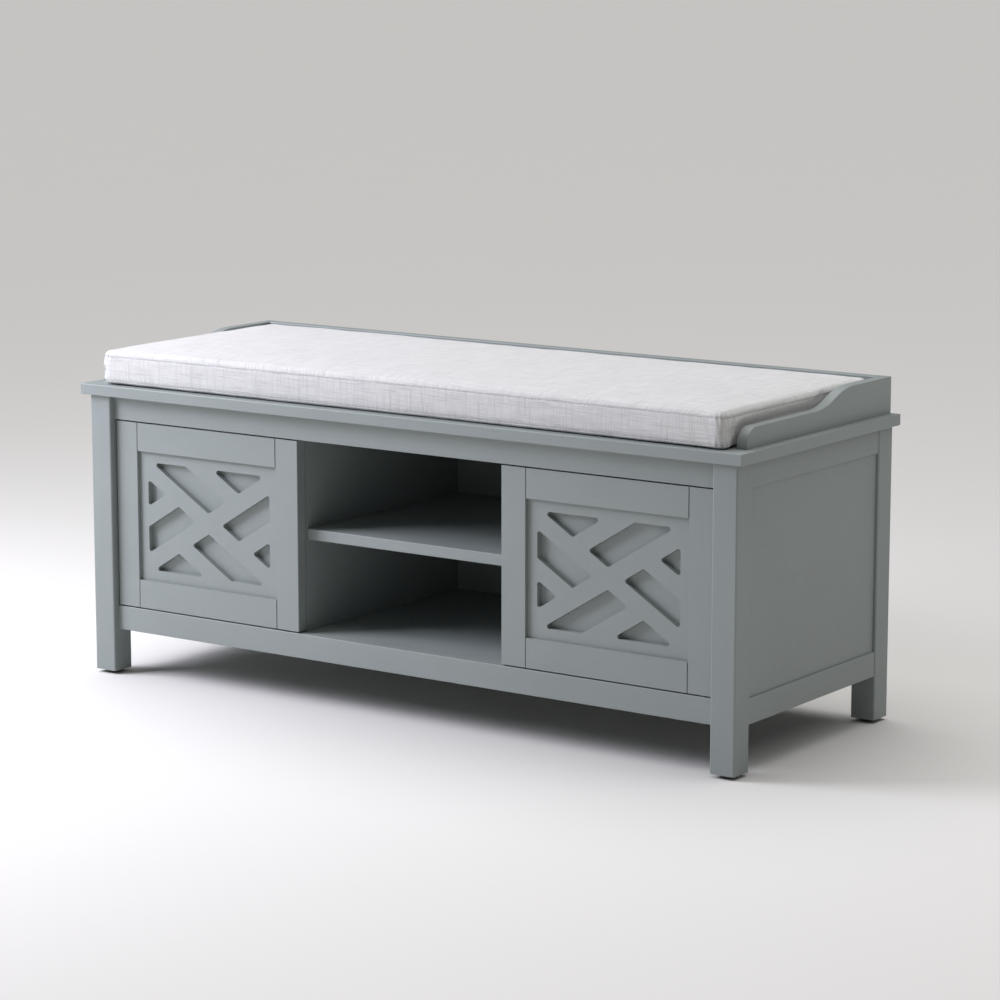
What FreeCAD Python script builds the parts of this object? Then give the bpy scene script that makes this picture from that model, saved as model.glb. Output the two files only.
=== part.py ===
"""Entryway bench: two lattice doors, an open middle bay with a shelf, and a loose seat cushion.

Frame: millimetres, X to the right, Y to the back, Z up. The origin is on the floor under the
middle of the top board. Pieces that come in pairs are drawn for the right side (+X) and
mirrored in the plane X = 0. Doors are drawn closed.
"""
import FreeCAD, Part
import math
import os

V = FreeCAD.Vector
X_AXIS = V(1, 0, 0)
Y_AXIS = V(0, 1, 0)
Z_AXIS = V(0, 0, 1)

# ---------------------------------------------------------------- driving dimensions (mm)

# Top board and the frame's plan
board_width = 1143.0
board_depth = 430.0
board_thick = 16.0
side_overhang = 11.5
front_overhang = 9.0
rear_overhang = 1.0

# Legs
post_size = 38.0
post_height = 418.0
post_edge_radius = 2.5
glide_diameter = 25.0
glide_height = 5.0
glide_chamfer = 1.0
glide_nail_diameter = 3.0
glide_nail_length = 12.0

# Rails between the legs
rail_height = 36.0
rail_thick = 18.0
bottom_rail_lift = 63.5        # underside of the lower rails above the feet of the posts
front_rail_setback = 10.0      # behind the posts' front faces
rear_rail_setback = 1.5
side_rail_setback = 1.5
rail_edge_radius = 1.0

# Panels
side_panel_thick = 9.0
side_panel_setback = 3.0       # behind the side rails' outer faces
back_panel_thick = 5.0
back_panel_setback = 3.0       # behind the rear rails' inner faces
panel_tongue = 6.0             # how far a panel runs into its groove
groove_clearance = 0.2
bottom_panel_thick = 12.0
cleat_size = 15.0
cleat_end_gap = 48.0           # from a cleat's end to the post

# Middle bay
divider_thick = 16.0
shelf_thick = 16.0
shelf_rise = 134.5             # underside of the shelf above the bottom panel
shelf_setback = 4.0            # front edge of the shelf behind the doors' backs
shelf_side_clearance = 0.5
shelf_pin_diameter = 5.0
shelf_pin_length = 18.0
shelf_pin_inset = 45.0         # from the shelf's front and rear edges

# Arms and back board on top
arm_thick = 16.0
arm_inset = 14.0               # outer face in from the board's end
arm_front_setback = 36.0       # front end behind the board's front edge
arm_rear_setback = 2.0         # rear end in front of the posts' rear faces
arm_low_height = 28.5
arm_high_height = 52.0
arm_low_length = 179.0         # straight low part, front end to the start of the ogee
arm_ogee_length = 106.0
arm_front_radius = 24.0
back_board_thick = 16.0
board_edge_radius = 1.2

# Doors
door_width = 342.0
door_thick = 18.0
door_gap = 2.0                 # to the post, the apron and the lower rail
door_setback = 1.0             # door face behind the apron's face
door_back_gap = 0.5            # door back to the divider's front edge
stile_width = 40.0
door_rail_width = 42.0
tenon_length = 12.0
tenon_thick = 6.0
tenon_setback = 6.0            # tenon's front face behind the door's face
tenon_shoulder = 8.4           # from a rail's edges to its tenon
stile_chamfer = 0.5            # on a stile's front corner, towards the rails
joint_groove_width = 1.2       # the dark line where a rail meets a stile
joint_groove_depth = 2.5
fret_setback = 5.5             # lattice panel behind the door's face
fret_thick = 9.0
fret_border = 16.0
backing_thick = 3.0
rebate_width = 8.0

# Lattice
bar_angle = 31.6               # degrees from the horizontal
bar_width = 26.0
bar_pitch = 60.0
hole_radius = 3.5

# Door pivots
pivot_inset = 16.0             # axis from the door's hinge edge
pivot_depth = 7.0              # axis behind the door's face
pivot_pin_diameter = 6.0
pivot_pin_in_door = 24.0
pivot_pin_in_bush = 8.0
bush_diameter = 10.0
bush_depth = 10.0
bush_flange_diameter = 14.0
bush_flange_thick = 1.6
running_clearance = 0.05       # radial, between a pin or plunger and what guides it

# Touch latches
latch_width = 16.0
latch_height = 14.0
latch_length = 66.0
latch_travel = 3.0
latch_front_gap = 0.3          # plunger's tip to the strike plate
latch_spare = 0.2              # left over in front and behind at each end of the travel
plunger_diameter = 8.0
plunger_length = 26.0
plunger_chamfer = 0.5
spring_diameter = 6.0
spring_wire = 0.7
spring_turns = 5
spring_squeezed = 9.0
strike_width = 14.0
strike_height = 18.0
strike_thick = 1.2

# Fasteners
hole_clearance = 0.1
dowel_diameter = 8.0
dowel_in_rail = 20.0
dowel_in_post = 12.0
dowel_in_board = 8.0
dowel_from_edge = 19.5         # across a rail's end, from its edge away from the doors
cam_from_edge = 8.0
cam_diameter = 12.0
cam_depth = 12.5
cam_distance = 24.0            # centre of the cam from the rail's end
cam_bolt_diameter = 6.0
cam_bolt_in_post = 10.0
screw_diameter = 4.0
screw_head_diameter = 8.0
screw_head_height = 3.0
board_screw_bite = 12.0        # into the top board
board_screw_length = 38.0
board_screw_spacing = 381.0    # along the front and rear rails
arm_screw_length = 38.0
arm_screw_shares = (0.15, 0.5, 0.85)    # places along an arm, as shares of its length
back_screw_shares = (0.25, 0.75)        # places along each half of the back board
latch_screw_diameter = 3.0
latch_screw_bite = 8.0
latch_screw_inset = 7.0        # last screw from the housing's rear end
latch_screw_spacing = 14.0

# Cushion
cushion_width = 1078.0
cushion_depth = 399.0
cushion_thick = 51.0
cushion_corner_radius = 13.0
cushion_edge_radius = 7.0
cushion_rest_gap = 0.3         # under the cushion, and behind it

# ---------------------------------------------------------------- places worked out from them

post_z0 = glide_height
post_z1 = post_z0 + post_height
post_out = board_width / 2 - side_overhang
post_in = post_out - post_size
front_y = -board_depth / 2 + front_overhang
rear_y = board_depth / 2 - rear_overhang
board_z1 = post_z1 + board_thick

lower_z0 = post_z0 + bottom_rail_lift
lower_z1 = lower_z0 + rail_height
upper_z0 = post_z1 - rail_height

apron_y0 = front_y + front_rail_setback
apron_y1 = apron_y0 + rail_thick
rear_rail_y1 = rear_y - rear_rail_setback
rear_rail_y0 = rear_rail_y1 - rail_thick
side_rail_x1 = post_out - side_rail_setback
side_rail_x0 = side_rail_x1 - rail_thick
side_rail_y0 = front_y + post_size
side_rail_y1 = rear_y - post_size

side_panel_x1 = side_rail_x1 - side_panel_setback
side_panel_x0 = side_panel_x1 - side_panel_thick
back_panel_y0 = rear_rail_y0 + back_panel_setback
back_panel_y1 = back_panel_y0 + back_panel_thick
bottom_z0 = lower_z1 - bottom_panel_thick

door_y0 = apron_y0 + door_setback
door_y1 = door_y0 + door_thick
door_x1 = post_in - door_gap
door_x0 = door_x1 - door_width
door_z0 = lower_z1 + door_gap
door_z1 = upper_z0 - door_gap
stile_x0 = door_x1 - stile_width
stile_x1 = door_x0 + stile_width
door_rail_z0 = door_z1 - door_rail_width
door_rail_z1 = door_z0 + door_rail_width
pivot_x = door_x1 - pivot_inset
pivot_y = door_y0 + pivot_depth

divider_x0 = door_x0
divider_x1 = divider_x0 + divider_thick
divider_y0 = door_y1 + door_back_gap
divider_y1 = back_panel_y0 - groove_clearance
shelf_z0 = lower_z1 + shelf_rise
shelf_y0 = door_y1 + shelf_setback
shelf_x1 = divider_x0 - shelf_side_clearance

arm_x1 = board_width / 2 - arm_inset
arm_x0 = arm_x1 - arm_thick
arm_y0 = -board_depth / 2 + arm_front_setback
arm_y1 = rear_y - arm_rear_setback
back_board_y0 = arm_y1 - back_board_thick

latch_z = (door_z0 + door_z1) / 2
latch_x = divider_x1 + latch_width / 2
tip_y = door_y1 + latch_front_gap
latch_y0 = tip_y + latch_travel + latch_spare


# ---------------------------------------------------------------- shapes

def box(x0, x1, y0, y1, z0, z1):
    """A block between two opposite corners."""
    return Part.makeBox(x1 - x0, y1 - y0, z1 - z0, V(x0, y0, z0))


def grown(bounds, by):
    """The block around these bounds, larger by the same amount on every side."""
    x0, x1, y0, y1, z0, z1 = bounds
    return box(x0 - by, x1 + by, y0 - by, y1 + by, z0 - by, z1 + by)


def rod(start, end, radius):
    """A cylinder between two points."""
    return Part.makeCylinder(radius, (end - start).Length, start, end - start)


def tube(start, end, outer, inner):
    """A round sleeve between two points."""
    return rod(start, end, outer).cut(rod(start, end, inner))


def edges_along(shape, axis):
    """The straight edges of a shape that run along one axis."""
    found = []
    for edge in shape.Edges:
        if edge.Curve.TypeId == "Part::GeomLine":
            direction = edge.Curve.Direction
            if abs(abs(direction.dot(axis)) - 1) < 1e-6:
                found.append(edge)
    return found


def eased(shape, radius, *axes):
    """The shape with its edges along these axes rounded over."""
    edges = []
    for axis in axes:
        edges += edges_along(shape, axis)
    return shape.makeFillet(radius, edges)


def extruded(points, direction):
    """A prism on a closed outline of corner points."""
    face = Part.Face(Part.makePolygon(points + [points[0]]))
    return face.extrude(direction)


def drilled(solid, rods):
    """The solid with a hole for each (start, end, radius) that reaches it."""
    for start, end, radius in rods:
        hole = rod(start, end, radius + hole_clearance)
        if hole.BoundBox.intersect(solid.BoundBox):
            solid = solid.cut(hole)
    return solid


def mirrored(shape):
    """The same piece for the other side of the bench."""
    return shape.mirror(V(0, 0, 0), X_AXIS)


# ---------------------------------------------------------------- fasteners

def rail_end_fittings(edge, outward, inward, towards_doors):
    """The dowel, cam bolt and cam in one end of a rail, as (start, end, radius) rods.

    edge is the middle of the end face's edge away from the doors, outward points into the
    post, inward points from the rail to the inside of the bench, and towards_doors is up
    on a lower rail and down on a top rail. The edge by the doors stays free for the grooves
    and the pivot bushes.
    """
    dowel_at = edge + towards_doors * dowel_from_edge
    bolt_at = edge + towards_doors * cam_from_edge
    cam_at = bolt_at - outward * cam_distance
    inner_face = cam_at + inward * (rail_thick / 2)
    dowel = (dowel_at - outward * dowel_in_rail, dowel_at + outward * dowel_in_post,
             dowel_diameter / 2)
    bolt = (cam_at + outward * (cam_diameter / 2), bolt_at + outward * cam_bolt_in_post,
            cam_bolt_diameter / 2)
    cam = (inner_face - inward * cam_depth, inner_face, cam_diameter / 2)
    return dowel, bolt, cam


def all_rail_fittings():
    """Dowels, cam bolts and cams of the eight rails, on both sides of the bench."""
    dowels, bolts, cams = [], [], []
    for z, towards_doors in ((lower_z0, Z_AXIS), (post_z1, -Z_AXIS)):
        ends = []
        for side in (-1, 1):
            out = X_AXIS * side
            ends.append((V(side * post_in, (apron_y0 + apron_y1) / 2, z), out, Y_AXIS))
            ends.append((V(side * post_in, (rear_rail_y0 + rear_rail_y1) / 2, z), out, -Y_AXIS))
            x = side * (side_rail_x0 + side_rail_x1) / 2
            ends.append((V(x, side_rail_y0, z), -Y_AXIS, -out))
            ends.append((V(x, side_rail_y1, z), Y_AXIS, -out))
        for edge, outward, inward in ends:
            dowel, bolt, cam = rail_end_fittings(edge, outward, inward, towards_doors)
            dowels.append(dowel)
            bolts.append(bolt)
            cams.append(cam)
    return dowels, bolts, cams


def divider_dowels():
    """Upright dowels that hold the dividers to the bottom panel and the top board."""
    dowels = []
    quarter = (divider_y1 - divider_y0) / 4
    for side in (-1, 1):
        x = side * (divider_x0 + divider_x1) / 2
        for y in (divider_y0 + quarter, divider_y1 - quarter):
            for seam, up in ((lower_z1, Z_AXIS), (post_z1, -Z_AXIS)):
                foot = V(x, y, seam)
                dowels.append((foot - up * dowel_in_board, foot + up * dowel_in_rail,
                               dowel_diameter / 2))
    return dowels


def screw(head_end, direction, length, diameter):
    """A countersunk screw: its flat head is centred on head_end."""
    cone = Part.makeCone(screw_head_diameter / 2, diameter / 2, screw_head_height,
                         head_end, direction)
    shank = rod(head_end + direction * screw_head_height, head_end + direction * length,
                diameter / 2)
    return cone.fuse(shank).removeSplitter()


def screw_hole(head_end, direction, length, diameter, sink):
    """The hole for such a screw, with its head sunk this far below the surface."""
    cone = Part.makeCone(screw_head_diameter / 2 + hole_clearance,
                         diameter / 2 + hole_clearance, screw_head_height, head_end, direction)
    hole = cone.fuse(rod(head_end, head_end + direction * length,
                         diameter / 2 + hole_clearance))
    if sink > 0:
        hole = hole.fuse(rod(head_end - direction * sink, head_end,
                             screw_head_diameter / 2 + hole_clearance))
    return hole


def board_screw_places():
    """Where screws go up through the top rails into the top board: their head ends."""
    head_z = post_z1 + board_screw_bite - board_screw_length
    places = []
    for x in (-board_screw_spacing, 0, board_screw_spacing):
        for y in ((apron_y0 + apron_y1) / 2, (rear_rail_y0 + rear_rail_y1) / 2):
            places.append(V(x, y, head_z))
    for side in (-1, 1):
        x = side * (side_rail_x0 + side_rail_x1) / 2
        places.append(V(x, (side_rail_y0 + side_rail_y1) / 2, head_z))
    return places


def arm_screw_places():
    """Where screws go up through the top board into the arms and the back board."""
    places = []
    length = arm_y1 - arm_y0
    for side in (-1, 1):
        x = side * (arm_x0 + arm_x1) / 2
        for share in arm_screw_shares:
            places.append(V(x, arm_y0 + share * length, post_z1))
        for share in back_screw_shares:
            places.append(V(side * share * arm_x0, (back_board_y0 + arm_y1) / 2, post_z1))
    return places


def latch_screw_places():
    """Head ends of the screws that hold the right latch to its divider."""
    places = []
    for back in (latch_screw_inset, latch_screw_inset + latch_screw_spacing):
        places.append(V(divider_x1 + latch_width, latch_y0 + latch_length - back, latch_z))
    return places


def screwed_from_below(solid, places, length, sink):
    """The solid with upward screw holes at these places."""
    for place in places:
        hole = screw_hole(place, Z_AXIS, length, screw_diameter, sink)
        if hole.BoundBox.intersect(solid.BoundBox):
            solid = solid.cut(hole)
    return solid


def board_screwed(rail):
    """A top rail with the counterbored holes of the screws that hold the top board."""
    places = board_screw_places()
    return screwed_from_below(rail, places, board_screw_length, places[0].z - upper_z0)


DOWELS, CAM_BOLTS, CAMS = all_rail_fittings()
DIVIDER_DOWELS = divider_dowels()
RAIL_FITTINGS = DOWELS + CAM_BOLTS + CAMS


# ---------------------------------------------------------------- frame

def side_panel_bounds():
    """The right side panel with its tongues."""
    return (side_panel_x0, side_panel_x1, side_rail_y0 - panel_tongue,
            side_rail_y1 + panel_tongue, lower_z1 - panel_tongue, upper_z0 + panel_tongue)


def back_panel_bounds():
    """The back panel with its tongues."""
    reach = post_in + panel_tongue
    return (-reach, reach, back_panel_y0, back_panel_y1,
            lower_z1 - panel_tongue, upper_z0 + panel_tongue)


def grooved(solid):
    """The solid with the grooves that hold the side panel and the back panel."""
    for bounds in (side_panel_bounds(), back_panel_bounds()):
        solid = solid.cut(grown(bounds, groove_clearance))
    return solid


def post(y0, y1):
    """A right-hand leg."""
    leg = box(post_in, post_out, y0, y1, post_z0, post_z1)
    leg = eased(leg, post_edge_radius, Z_AXIS)
    centre = V((post_in + post_out) / 2, (y0 + y1) / 2, post_z0)
    nail = (centre, centre + Z_AXIS * glide_nail_length, glide_nail_diameter / 2)
    return drilled(grooved(leg), RAIL_FITTINGS + [nail])


def glide(y0, y1):
    """The plastic glide under a right-hand leg, with its nail."""
    centre = V((post_in + post_out) / 2, (y0 + y1) / 2, 0)
    disc = rod(centre, centre + Z_AXIS * glide_height, glide_diameter / 2)
    rim = [edge for edge in disc.Edges if edge.BoundBox.ZMax < 0.1 and edge.Closed]
    disc = disc.makeChamfer(glide_chamfer, rim)
    top = centre + Z_AXIS * glide_height
    nail = rod(top, top + Z_AXIS * glide_nail_length, glide_nail_diameter / 2)
    return disc.fuse(nail).removeSplitter()


def bush_seat(z, up):
    """The bore of a pivot bush in a rail whose face is at z, as one rod."""
    mouth = V(pivot_x, pivot_y, z)
    return (mouth, mouth - up * bush_depth, bush_diameter / 2)


def front_rail(z0, z1, bush_z, up):
    """A rail across the front, with the seats of the two pivot bushes."""
    rail = eased(box(-post_in, post_in, apron_y0, apron_y1, z0, z1), rail_edge_radius, X_AXIS)
    start, end, radius = bush_seat(bush_z, up)
    seat = rod(start, end, radius)
    return drilled(rail.cut(seat).cut(mirrored(seat)), RAIL_FITTINGS)


def rear_rail(z0, z1):
    """A rail across the back, grooved for the back panel."""
    rail = box(-post_in, post_in, rear_rail_y0, rear_rail_y1, z0, z1)
    return drilled(grooved(eased(rail, rail_edge_radius, X_AXIS)), RAIL_FITTINGS)


def side_rail(z0, z1):
    """A right-hand rail from front to back, grooved for the side panel."""
    rail = box(side_rail_x0, side_rail_x1, side_rail_y0, side_rail_y1, z0, z1)
    return drilled(grooved(eased(rail, rail_edge_radius, Y_AXIS)), RAIL_FITTINGS)


def bottom_panel():
    """The floor of the bench, notched around the four legs."""
    panel = box(-side_rail_x0, side_rail_x0, apron_y1, rear_rail_y0, bottom_z0, lower_z1)
    for y0, y1 in ((front_y, side_rail_y0), (side_rail_y1, rear_y)):
        notch = grown((post_in, post_out, y0, y1, post_z0, post_z1), groove_clearance)
        panel = panel.cut(notch).cut(mirrored(notch))
    return drilled(panel, DIVIDER_DOWELS)


def cleat(y0, y1):
    """A batten that carries the bottom panel, glued along a lower rail."""
    z0 = bottom_z0 - cleat_size
    x1 = post_in - cleat_end_gap
    return box(-x1, x1, y0, y1, z0, bottom_z0)


def top_board():
    """The seat board, with its edges rounded over."""
    board = box(-board_width / 2, board_width / 2, -board_depth / 2, board_depth / 2,
                post_z1, board_z1)
    board = eased(board, board_edge_radius, X_AXIS, Y_AXIS, Z_AXIS)
    board = drilled(board, DIVIDER_DOWELS)
    board = screwed_from_below(board, board_screw_places(), board_screw_length, 0)
    return screwed_from_below(board, arm_screw_places(), arm_screw_length, 0)


# ---------------------------------------------------------------- arms and back board

def arm():
    """The right arm: low and rounded at the front, rising in an ogee to the back."""
    low = board_z1 + arm_low_height
    high = board_z1 + arm_high_height
    ogee_y0 = arm_y0 + arm_low_length
    ogee_y1 = ogee_y0 + arm_ogee_length
    middle = V(arm_x0, (ogee_y0 + ogee_y1) / 2, (low + high) / 2)
    run = arm_ogee_length / 2
    rise = (high - low) / 2
    radius = (run ** 2 + rise ** 2) / (2 * rise)
    half_turn = math.asin(run / radius) / 2
    along = radius * math.sin(half_turn)
    up = radius * (1 - math.cos(half_turn))
    corner = arm_front_radius * (1 - math.sqrt(0.5))

    def at(y, z):
        return V(arm_x0, y, z)

    outline = Part.Wire([
        Part.LineSegment(at(arm_y1, board_z1), at(arm_y0, board_z1)).toShape(),
        Part.LineSegment(at(arm_y0, board_z1), at(arm_y0, low - arm_front_radius)).toShape(),
        Part.Arc(at(arm_y0, low - arm_front_radius), at(arm_y0 + corner, low - corner),
                 at(arm_y0 + arm_front_radius, low)).toShape(),
        Part.LineSegment(at(arm_y0 + arm_front_radius, low), at(ogee_y0, low)).toShape(),
        Part.Arc(at(ogee_y0, low), at(ogee_y0 + along, low + up), middle).toShape(),
        Part.Arc(middle, at(ogee_y1 - along, high - up), at(ogee_y1, high)).toShape(),
        Part.LineSegment(at(ogee_y1, high), at(arm_y1, high)).toShape(),
        Part.LineSegment(at(arm_y1, high), at(arm_y1, board_z1)).toShape(),
    ])
    solid = Part.Face(outline).extrude(X_AXIS * arm_thick)
    rims = []
    for edge in solid.Edges:
        on_side = edge.BoundBox.XLength < 1e-6
        if on_side and edge.BoundBox.ZMax > board_z1 + 1e-3:
            rims.append(edge)
    solid = solid.makeFillet(board_edge_radius, rims)
    return screwed_from_below(solid, arm_screw_places(), arm_screw_length, 0)


def back_board():
    """The low board between the arms at the rear of the seat."""
    board = box(-arm_x0, arm_x0, back_board_y0, arm_y1, board_z1, board_z1 + arm_high_height)
    rims = [edge for edge in edges_along(board, X_AXIS) if edge.BoundBox.ZMin > board_z1 + 1]
    board = board.makeFillet(board_edge_radius, rims)
    return screwed_from_below(board, arm_screw_places(), arm_screw_length, 0)


# ---------------------------------------------------------------- middle bay

def shelf_pins():
    """Steel pins under the shelf's four corners, half in the divider: (start, end, radius)."""
    pins = []
    z = shelf_z0 - shelf_pin_diameter / 2
    for side in (-1, 1):
        for y in (shelf_y0 + shelf_pin_inset, divider_y1 - shelf_pin_inset):
            start = V(side * (divider_x0 - shelf_pin_length / 2), y, z)
            end = V(side * (divider_x0 + shelf_pin_length / 2), y, z)
            pins.append((start, end, shelf_pin_diameter / 2))
    return pins


def divider():
    """The right upright board beside the middle bay, notched for the rear top rail."""
    board = box(divider_x0, divider_x1, divider_y0, divider_y1, lower_z1, post_z1)
    top_rail = (-post_in, post_in, rear_rail_y0, rear_rail_y1, upper_z0, post_z1)
    board = board.cut(grown(top_rail, groove_clearance))
    screws = []
    for place in latch_screw_places():
        inner = V(divider_x1 - latch_screw_bite, place.y, place.z)
        screws.append((inner, place, latch_screw_diameter / 2))
    return drilled(board, DIVIDER_DOWELS + shelf_pins() + screws)


def shelf():
    """The shelf in the middle bay."""
    board = box(-shelf_x1, shelf_x1, shelf_y0, divider_y1, shelf_z0, shelf_z0 + shelf_thick)
    fronts = [edge for edge in edges_along(board, X_AXIS) if edge.BoundBox.YMax < shelf_y0 + 1]
    return board.makeFillet(rail_edge_radius, fronts)


# ---------------------------------------------------------------- doors (right-hand)

def pivot_holes():
    """The holes for the pivot pins in the ends of the hinge stile."""
    foot = V(pivot_x, pivot_y, door_z0)
    head = V(pivot_x, pivot_y, door_z1)
    return [(foot, foot + Z_AXIS * pivot_pin_in_door, pivot_pin_diameter / 2),
            (head - Z_AXIS * pivot_pin_in_door, head, pivot_pin_diameter / 2)]


def tenon(z0, z1, x_from, x_to):
    """A tenon of a door rail, as bounds."""
    y0 = door_y0 + tenon_setback
    return (x_from, x_to, y0, y0 + tenon_thick, z0 + tenon_shoulder,
            z1 - tenon_shoulder)


def door_rail_levels():
    """Bottom and top of the door's lower and upper rail."""
    return ((door_z0, door_rail_z1), (door_rail_z0, door_z1))


def tenons():
    """Bounds of the four tenons of the right door."""
    found = []
    for z0, z1 in door_rail_levels():
        found.append(tenon(z0, z1, stile_x0, stile_x0 + tenon_length))
        found.append(tenon(z0, z1, stile_x1 - tenon_length, stile_x1))
    return found


def fret_bounds(clearance):
    """The lattice panel's outline in its rebate."""
    return (stile_x1 - rebate_width + clearance, stile_x0 + rebate_width - clearance,
            door_rail_z1 - rebate_width + clearance, door_rail_z0 + rebate_width - clearance)


def rebate():
    """What is cut from the back of the door frame for the lattice panel and its backing."""
    x0, x1, z0, z1 = fret_bounds(0)
    return box(x0, x1, door_y0 + fret_setback, door_y1 + 1, z0, z1)


def strike_bounds():
    """The strike plate, flush in the back of the free stile."""
    return (latch_x - strike_width / 2, latch_x + strike_width / 2,
            door_y1 - strike_thick, door_y1, latch_z - strike_height / 2,
            latch_z + strike_height / 2)


def stile(x0, x1, inner_x):
    """An upright of the door frame; inner_x is the side that meets the rails."""
    solid = box(x0, x1, door_y0, door_y1, door_z0, door_z1)
    seam = [edge for edge in edges_along(solid, Z_AXIS)
            if abs(edge.BoundBox.XMin - inner_x) < 0.01 and edge.BoundBox.YMax < door_y0 + 1]
    solid = solid.makeChamfer(stile_chamfer, seam)
    others = [edge for edge in edges_along(solid, Z_AXIS)
              if abs(edge.BoundBox.XMin - inner_x) > 1.5]
    solid = solid.makeFillet(rail_edge_radius, others)
    solid = solid.cut(rebate())
    for bounds in tenons():
        solid = solid.cut(grown(bounds, hole_clearance))
    return solid


def hinge_stile():
    """The door's upright on the post's side, bored for the pivot pins."""
    return drilled(stile(stile_x0, door_x1, stile_x0), pivot_holes())


def free_stile():
    """The door's upright beside the middle bay, recessed for the strike plate."""
    return stile(door_x0, stile_x1, stile_x1).cut(box(*strike_bounds()))


def door_rail(z0, z1, outer_z):
    """A crosspiece of the door frame with a tenon at each end."""
    solid = box(stile_x1, stile_x0, door_y0, door_y1, z0, z1)
    rims = [edge for edge in edges_along(solid, X_AXIS)
            if abs(edge.BoundBox.ZMin - outer_z) < 0.01 and edge.BoundBox.YMax > door_y1 - 1]
    solid = solid.makeFillet(rail_edge_radius, rims).cut(rebate())
    for x0 in (stile_x1, stile_x0 - joint_groove_width):
        solid = solid.cut(box(x0, x0 + joint_groove_width, door_y0, door_y0 + joint_groove_depth,
                              z0, z1))
    for x0, x1, y0, y1, low, high in tenons():
        if low > z0 and high < z1:
            solid = solid.fuse(box(x0, x1, y0, y1, low, high))
    return solid.removeSplitter()


def lattice_bars(centre, depth):
    """The slanted bars of the lattice, as solids that fill their strips of the panel.

    Two full bars cross at the middle. A half bar runs one pitch away on either side of each
    of them, and stops where it meets the other full bar.
    """
    slope = math.radians(bar_angle)
    reach = door_width
    bars = []
    for rising in (1, -1):
        along = V(math.cos(slope), 0, rising * math.sin(slope))
        across = V(-rising * math.sin(slope), 0, math.cos(slope)) * (bar_width / 2)
        other = V(math.cos(slope), 0, -rising * math.sin(slope))
        crossing = bar_pitch / math.sin(2 * slope)
        strips = [(centre - along * reach, centre + along * reach)]
        for side in (1, -1):
            start = centre - other * (side * rising * crossing)
            strips.append((start, start + along * (side * reach)))
        for start, end in strips:
            points = [start - across, end - across, end + across, start + across]
            bars.append(extruded(points, Y_AXIS * depth))
    return bars


def fret_panel():
    """The lattice panel: one board with eight slanted holes."""
    x0, x1, z0, z1 = fret_bounds(groove_clearance)
    y0 = door_y0 + fret_setback
    y1 = y0 + fret_thick
    panel = box(x0, x1, y0, y1, z0, z1)
    holes = box(stile_x1 + fret_border, stile_x0 - fret_border, y0, y1,
                door_rail_z1 + fret_border, door_rail_z0 - fret_border)
    centre = V((stile_x0 + stile_x1) / 2, y0, (door_rail_z0 + door_rail_z1) / 2)
    for bar in lattice_bars(centre, fret_thick):
        holes = holes.cut(bar)
    for hole in holes.Solids:
        panel = panel.cut(hole.makeFillet(hole_radius, edges_along(hole, Y_AXIS)))
    return panel


def backing_panel():
    """The thin board behind the lattice."""
    x0, x1, z0, z1 = fret_bounds(groove_clearance)
    y0 = door_y0 + fret_setback + fret_thick
    return box(x0, x1, y0, y0 + backing_thick, z0, z1)


def pivot_pins():
    """The two steel pins that the door turns on."""
    foot, head = pivot_holes()
    reach = Z_AXIS * (door_gap + pivot_pin_in_bush)
    radius = pivot_pin_diameter / 2
    lower = rod(foot[0] - reach, foot[1], radius)
    upper = rod(head[0], head[1] + reach, radius)
    return Part.Compound([lower, upper])


# ---------------------------------------------------------------- hinges and latches

def pivot_bush(z, up):
    """A nylon bush in a front rail; up points out of the rail to the door."""
    mouth = V(pivot_x, pivot_y, z)
    bore = pivot_pin_diameter / 2 + running_clearance
    body = tube(mouth - up * bush_depth, mouth, bush_diameter / 2, bore)
    flange = tube(mouth, mouth + up * bush_flange_thick, bush_flange_diameter / 2, bore)
    return body.fuse(flange).removeSplitter()


def latch_housing():
    """The right touch latch's case, bored for its plunger and spring."""
    case = box(divider_x1, divider_x1 + latch_width, latch_y0, latch_y0 + latch_length,
               latch_z - latch_height / 2, latch_z + latch_height / 2)
    case = eased(case, rail_edge_radius, Y_AXIS)
    mouth = V(latch_x, latch_y0, latch_z)
    floor = V(latch_x, spring_y0() + spring_squeezed + latch_spare, latch_z)
    case = case.cut(rod(mouth, floor, plunger_diameter / 2 + running_clearance))
    for place in latch_screw_places():
        length = latch_width + latch_screw_bite
        case = case.cut(screw_hole(place, -X_AXIS, length, latch_screw_diameter, 0))
    return case


def spring_y0():
    """Where the squeezed spring starts, just behind the plunger when it is pushed right in."""
    return tip_y + plunger_length + latch_travel + latch_spare


def latch_plunger():
    """The right latch's magnetic plunger, in its resting place."""
    tip = V(latch_x, tip_y, latch_z)
    body = rod(tip, tip + Y_AXIS * plunger_length, plunger_diameter / 2)
    rims = [edge for edge in body.Edges if edge.Closed]
    return body.makeChamfer(plunger_chamfer, rims)


def latch_spring():
    """The right latch's coil spring, drawn squeezed: round wire swept along a helix."""
    pitch = (spring_squeezed - spring_wire) / spring_turns
    radius = (spring_diameter - spring_wire) / 2
    helix = Part.makeHelix(pitch, pitch * spring_turns, radius)
    start = V(radius, 0, 0)
    section = Part.Wire([Part.makeCircle(spring_wire / 2, start, Y_AXIS)])
    coil = Part.Wire(helix.Edges).makePipeShell([section], True, True)
    coil.rotate(V(0, 0, 0), X_AXIS, -90)
    coil.translate(V(latch_x, spring_y0() + spring_wire / 2, latch_z))
    return coil


# ---------------------------------------------------------------- cushion

def cushion():
    """The seat cushion, as a plain padded block."""
    y1 = back_board_y0 - cushion_rest_gap
    z0 = board_z1 + cushion_rest_gap
    block = box(-cushion_width / 2, cushion_width / 2, y1 - cushion_depth, y1,
                z0, z0 + cushion_thick)
    block = eased(block, cushion_corner_radius, Z_AXIS)
    rims = []
    for edge in block.Edges:
        if edge.BoundBox.ZLength < 1e-6:
            rims.append(edge)
    return block.makeFillet(cushion_edge_radius, rims)


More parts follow.
